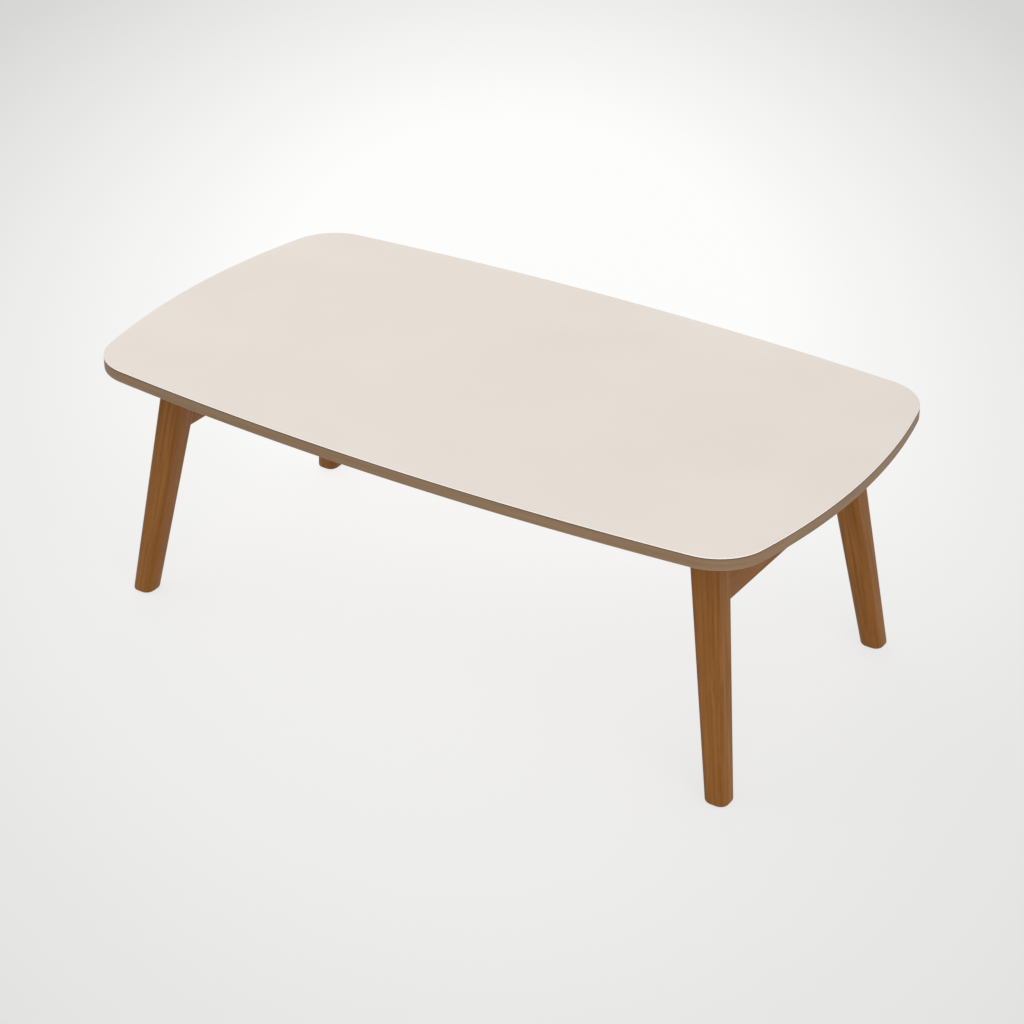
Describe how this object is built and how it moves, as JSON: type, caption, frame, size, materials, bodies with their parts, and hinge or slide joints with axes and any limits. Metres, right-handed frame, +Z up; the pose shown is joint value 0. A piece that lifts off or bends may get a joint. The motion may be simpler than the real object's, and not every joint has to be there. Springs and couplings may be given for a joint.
{
  "type": "folding low table",
  "caption": "Low table with a rounded laminated top on splayed wooden legs in pairs; each pair, joined by an end rail, folds flat under the top on snap brackets.",
  "frame": {"origin": "on the floor, under the middle of the top", "axes": "+X along the long side to the right, +Y to the back, +Z up; the left leg frame is at -X"},
  "size_m": [0.9, 0.5, 0.32],
  "materials": {
    "top": "warm off-white satin laminate",
    "edge": "taupe brown wood-grain edge strip",
    "core": "pressed fibre board, sealed",
    "leg_wood": "walnut-stained wood, satin lacquer",
    "bracket": "black painted pressed steel",
    "spring": "spring steel",
    "rivets": "zinc plated",
    "screws": "zinc plated",
    "pad": "brown felt"
  },
  "bodies": {
    "tabletop": {"top_laminate": "top", "core_board": "core", "edge_band": "edge", "board_screws": "screws", "leaf_rivets": "rivets", "pivot_rivets": "rivets", "left_front_hinge_base": "bracket", "left_front_leaf_spring": "spring", "left_back_hinge_base": "bracket", "left_back_leaf_spring": "spring", "right_front_hinge_base": "bracket", "right_front_leaf_spring": "spring", "right_back_hinge_base": "bracket", "right_back_leaf_spring": "spring"},
    "left_leg_frame": {"left_rail": "leg_wood", "left_arm_screws": "screws", "left_front_leg": "leg_wood", "left_front_foot_pad": "pad", "left_front_hinge_arm": "bracket", "left_back_leg": "leg_wood", "left_back_foot_pad": "pad", "left_back_hinge_arm": "bracket"},
    "right_leg_frame": {"right_rail": "leg_wood", "right_arm_screws": "screws", "right_front_leg": "leg_wood", "right_front_foot_pad": "pad", "right_front_hinge_arm": "bracket", "right_back_leg": "leg_wood", "right_back_foot_pad": "pad", "right_back_hinge_arm": "bracket"}
  },
  "joints": [
    {"name": "left_fold", "type": "hinge", "parent": "tabletop", "child": "left_leg_frame", "pos_m": [-0.32646, 0, 0.291], "axis": [0, -1, 0], "range_deg": [0, 99.2], "deforming": ["left_front_leaf_spring", "left_back_leaf_spring"]},
    {"name": "right_fold", "type": "hinge", "parent": "tabletop", "child": "right_leg_frame", "pos_m": [0.32646, 0, 0.291], "axis": [0, 1, 0], "range_deg": [0, 99.2], "deforming": ["right_front_leaf_spring", "right_back_leaf_spring"]}
  ]
}
